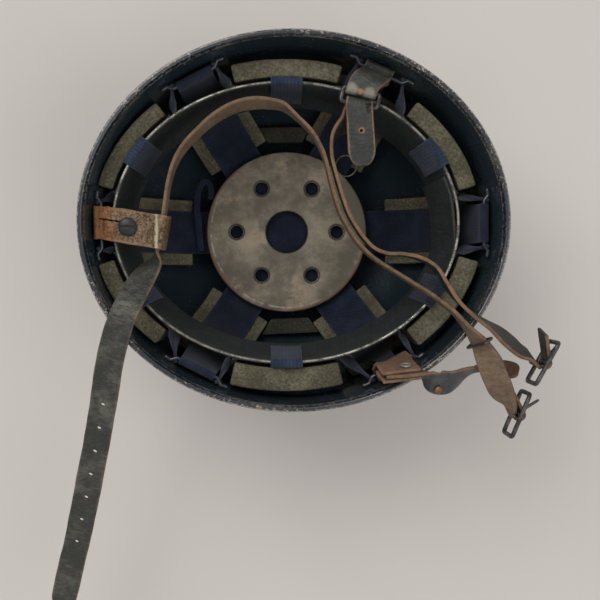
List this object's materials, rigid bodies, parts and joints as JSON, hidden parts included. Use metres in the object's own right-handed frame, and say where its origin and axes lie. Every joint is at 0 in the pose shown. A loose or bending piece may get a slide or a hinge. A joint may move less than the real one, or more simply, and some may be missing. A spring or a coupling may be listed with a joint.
{
  "type": "service helmet",
  "caption": "Enamelled steel service helmet lying on its crown, with a webbing and foam suspension, leather headband, wire brackets and a leather chin harness with wire buckles.",
  "frame": {"origin": "lowest point of the crown, on which the helmet lies with its opening up", "axes": "+Z out of the opening, +X towards the forehead, +Y towards the wearer's right side"},
  "size_m": [0.3431, 0.3986, 0.1903],
  "materials": {
    "shell_enamel": "glossy dark navy enamel, chipped",
    "bracket_paint": "painted over with the shell",
    "bright_steel": "worn bright",
    "dark_metal": "blackened wire",
    "foam": "crisp cut foam",
    "band_leather": "dark, smooth",
    "grey_webbing": "woven",
    "blue_webbing": "twill webbing",
    "disc_leather": "worn grey",
    "backing_leather": "dark",
    "brown_leather": "rough flesh side",
    "tan_leather": "rough flesh side",
    "strap_leather": "dark grain, tan edges",
    "copper": "dull rivet"
  },
  "bodies": {
    "helmet": {"shell": "shell_enamel", "rim_edging": "bright_steel", "bracket_front": "bracket_paint", "bracket_front_right": "bracket_paint", "bracket_rear_right": "bracket_paint", "bracket_nape": "bracket_paint", "bracket_rear_left": "bracket_paint", "bracket_front_left": "bracket_paint", "rim_pad_front_right": "foam", "rim_pad_right": "foam", "rim_pad_rear_right": "foam", "rim_pad_rear_left": "foam", "rim_pad_left": "foam", "rim_pad_front_left": "foam", "headband": "band_leather", "headband_wire": "bright_steel", "sling_front_right": "grey_webbing", "sling_right": "grey_webbing", "sling_rear_right": "grey_webbing", "sling_rear_left": "grey_webbing", "sling_left": "grey_webbing", "sling_front_left": "grey_webbing", "loop_front_right": "blue_webbing", "loop_right": "blue_webbing", "loop_rear_right": "blue_webbing", "loop_rear_left": "blue_webbing", "loop_left": "blue_webbing", "loop_front_left": "blue_webbing", "crown_strap_lengthwise": "blue_webbing", "crown_strap_lower": "blue_webbing", "crown_strap_upper": "blue_webbing", "strap_pad_front": "foam", "strap_pad_front_right": "foam", "strap_pad_rear_right": "foam", "strap_pad_nape": "foam", "strap_pad_rear_left": "foam", "strap_pad_front_left": "foam", "bridge_pad_right": "foam", "bridge_pad_left": "foam", "disc_backing": "backing_leather", "disc_facing": "disc_leather", "pull_loop": "blue_webbing", "crown_ring": "bright_steel"},
    "chin": {"nape_tab": "brown_leather", "nape_stud": "dark_metal", "chin_strap": "strap_leather"},
    "chin_keeper": {"chin_keeper": "dark_metal"},
    "chin_buckle": {"chin_buckle": "dark_metal"},
    "chin_prong": {"chin_prong": "dark_metal"},
    "right": {"right_hanger": "strap_leather", "strap_adjuster": "dark_metal", "right_strap": "strap_leather"},
    "side_buckle": {"side_buckle": "dark_metal"},
    "side_prong": {"side_prong": "dark_metal"},
    "left": {"left_tab": "tan_leather", "left_screw_post": "bright_steel", "left_strap": "strap_leather", "left_rivet": "copper"}
  },
  "joints": [
    {"name": "chin_swing", "type": "hinge", "parent": "helmet", "child": "chin", "pos_m": [-0.12786, -0.00194, 0.142], "axis": [0.0197, -0.9998, 0], "range_deg": [0, 20]},
    {"name": "right_swing", "type": "hinge", "parent": "helmet", "child": "right", "pos_m": [0.05778, 0.09965, 0.142], "axis": [-0.9113, 0.4118, 0], "range_deg": [0, 40]},
    {"name": "left_swing", "type": "hinge", "parent": "helmet", "child": "left", "pos_m": [0.06559, -0.09583, 0.142], "axis": [-0.8825, -0.4702, 0], "range_deg": [0, 12]},
    {"name": "keeper_slide", "type": "slide", "parent": "chin", "child": "chin_keeper", "axis": [0.568, -0.8206, -0.0631], "range_m": [-0.0015, 0.0015]},
    {"name": "chin_buckle_turn", "type": "hinge", "parent": "chin", "child": "chin_buckle", "pos_m": [0.1465, -0.126, 0.156], "axis": [0, 0, 1], "range_deg": [-20, 15]},
    {"name": "chin_prong_turn", "type": "hinge", "parent": "chin_buckle", "child": "chin_prong", "pos_m": [0.1465, -0.126, 0.156], "axis": [0, 0, 1], "range_deg": [-25, 24]},
    {"name": "side_buckle_turn", "type": "hinge", "parent": "right", "child": "side_buckle", "pos_m": [0.161, -0.0915, 0.166], "axis": [0, 0, 1], "range_deg": [-8, 10]},
    {"name": "side_prong_turn", "type": "hinge", "parent": "side_buckle", "child": "side_prong", "pos_m": [0.161, -0.0915, 0.166], "axis": [0, 0, 1], "range_deg": [-30, 0]}
  ],
  "couplings": [
    {"joint": "right_swing", "follows": "chin_swing", "ratio": 2},
    {"joint": "left_swing", "follows": "chin_swing", "ratio": 0.6}
  ]
}
